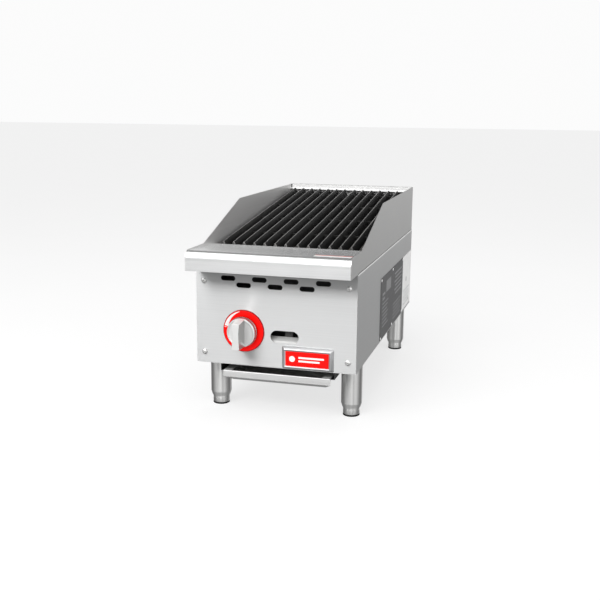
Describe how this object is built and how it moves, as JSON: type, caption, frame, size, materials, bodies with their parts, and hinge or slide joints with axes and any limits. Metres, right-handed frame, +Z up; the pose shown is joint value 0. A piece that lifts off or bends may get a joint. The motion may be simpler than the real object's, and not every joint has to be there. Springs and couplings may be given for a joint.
{
  "type": "countertop gas charbroiler",
  "caption": "Countertop gas charbroiler: stainless casing on four adjustable legs, sloping cast iron grates between side splashes, control knob and slide-out drip tray.",
  "frame": {"origin": "on the floor under the middle of the whole machine, gas inlet included", "axes": "+Z up, -Y towards the cook, where the control panel and knob are, +X to the cook's right"},
  "size_m": [0.3072, 0.725, 0.386],
  "materials": {
    "casing_steel": "satin, grain along the width",
    "splash_steel": "satin",
    "inner_steel": "mill finish, heat stained",
    "radiant_steel": "heat stained",
    "burner_steel": "aluminised, heat stained",
    "shutter_steel": "zinc plated",
    "grate_iron": "seasoned, slightly rough",
    "valve_brass": "machined",
    "stem_steel": "turned",
    "knob_metal": "satin plated",
    "red_ring": "gloss red enamel",
    "pipe_steel": "black iron pipe",
    "pilot_metal": "drawn tube",
    "tray_steel": "satin",
    "leg_steel": "polished",
    "foot_metal": "polished",
    "pad_rubber": "matt",
    "fastener_steel": "zinc plated",
    "badge_metal": "satin chrome",
    "badge_red": "gloss red",
    "plate_grey": "satin dark grey"
  },
  "bodies": {
    "casing": {"front_panel": "casing_steel", "left_side_panel": "casing_steel", "right_side_panel": "casing_steel", "rear_panel": "casing_steel", "left_splash": "splash_steel", "right_splash": "splash_steel", "rear_splash": "splash_steel", "front_ledge": "splash_steel", "left_base_rail": "inner_steel", "right_base_rail": "inner_steel", "base_cross_rails": "inner_steel", "left_liner": "inner_steel", "right_liner": "inner_steel", "front_baffle": "inner_steel", "rear_baffle": "inner_steel", "front_grate_rest": "inner_steel", "rear_grate_rest": "inner_steel", "radiant_rests": "inner_steel", "tray_rails": "inner_steel", "port_shield": "inner_steel", "left_radiant": "radiant_steel", "right_radiant": "radiant_steel", "burner_left_tube": "burner_steel", "burner_right_tube": "burner_steel", "burner_crossover": "burner_steel", "gas_valve": "valve_brass", "orifice_spud": "valve_brass", "knob_bezel": "red_ring", "manifold_pipe": "pipe_steel", "manifold_elbow": "pipe_steel", "supply_pipe": "pipe_steel", "gas_inlet": "pipe_steel", "pilot_valve": "pilot_metal", "pilot_tube": "pilot_metal", "pilot_burner": "pilot_metal", "leg_front_left": "leg_steel", "leg_front_right": "leg_steel", "leg_rear_left": "leg_steel", "leg_rear_right": "leg_steel", "leg_nuts": "fastener_steel", "panel_screws": "fastener_steel", "plate_rivets": "fastener_steel", "badge_frame": "badge_metal", "badge_inlay": "badge_red", "rating_plate": "plate_grey"},
    "knob": {"knob": "knob_metal", "valve_stem": "stem_steel"},
    "air_shutter": {"air_shutter": "shutter_steel"},
    "pilot_screw": {"pilot_screw": "stem_steel"},
    "drip_tray": {"drip_tray": "tray_steel"},
    "left_grate": {"left_grate": "grate_iron"},
    "right_grate": {"right_grate": "grate_iron"},
    "foot_front_left": {"foot_front_left": "foot_metal", "pad_front_left": "pad_rubber"},
    "foot_front_right": {"foot_front_right": "foot_metal", "pad_front_right": "pad_rubber"},
    "foot_rear_left": {"foot_rear_left": "foot_metal", "pad_rear_left": "pad_rubber"},
    "foot_rear_right": {"foot_rear_right": "foot_metal", "pad_rear_right": "pad_rubber"}
  },
  "joints": [
    {"name": "knob_turn", "type": "hinge", "parent": "casing", "child": "knob", "pos_m": [-0.06, -0.333, 0.1665], "axis": [0, -1, 0], "range_deg": [0, 90]},
    {"name": "air_shutter_turn", "type": "hinge", "parent": "casing", "child": "air_shutter", "pos_m": [-0.06, -0.238, 0.1665], "axis": [0, -1, 0], "range_deg": [-45, 45]},
    {"name": "pilot_screw_turn", "type": "hinge", "parent": "casing", "child": "pilot_screw", "pos_m": [0.021, -0.286, 0.16085], "axis": [0, -1, 0], "range_deg": [-180, 180]},
    {"name": "drip_tray_slide", "type": "slide", "parent": "casing", "child": "drip_tray", "axis": [0, -1, 0], "range_m": [0, 0.45]},
    {"name": "left_grate_lift", "type": "slide", "parent": "casing", "child": "left_grate", "axis": [0, 0, 1], "range_m": [0, 0.15]},
    {"name": "right_grate_lift", "type": "slide", "parent": "casing", "child": "right_grate", "axis": [0, 0, 1], "range_m": [0, 0.15]},
    {"name": "foot_front_left_height", "type": "slide", "parent": "casing", "child": "foot_front_left", "axis": [0, 0, -1], "range_m": [0, 0.02]},
    {"name": "foot_front_right_height", "type": "slide", "parent": "casing", "child": "foot_front_right", "axis": [0, 0, -1], "range_m": [0, 0.02]},
    {"name": "foot_rear_left_height", "type": "slide", "parent": "casing", "child": "foot_rear_left", "axis": [0, 0, -1], "range_m": [0, 0.02]},
    {"name": "foot_rear_right_height", "type": "slide", "parent": "casing", "child": "foot_rear_right", "axis": [0, 0, -1], "range_m": [0, 0.02]}
  ]
}
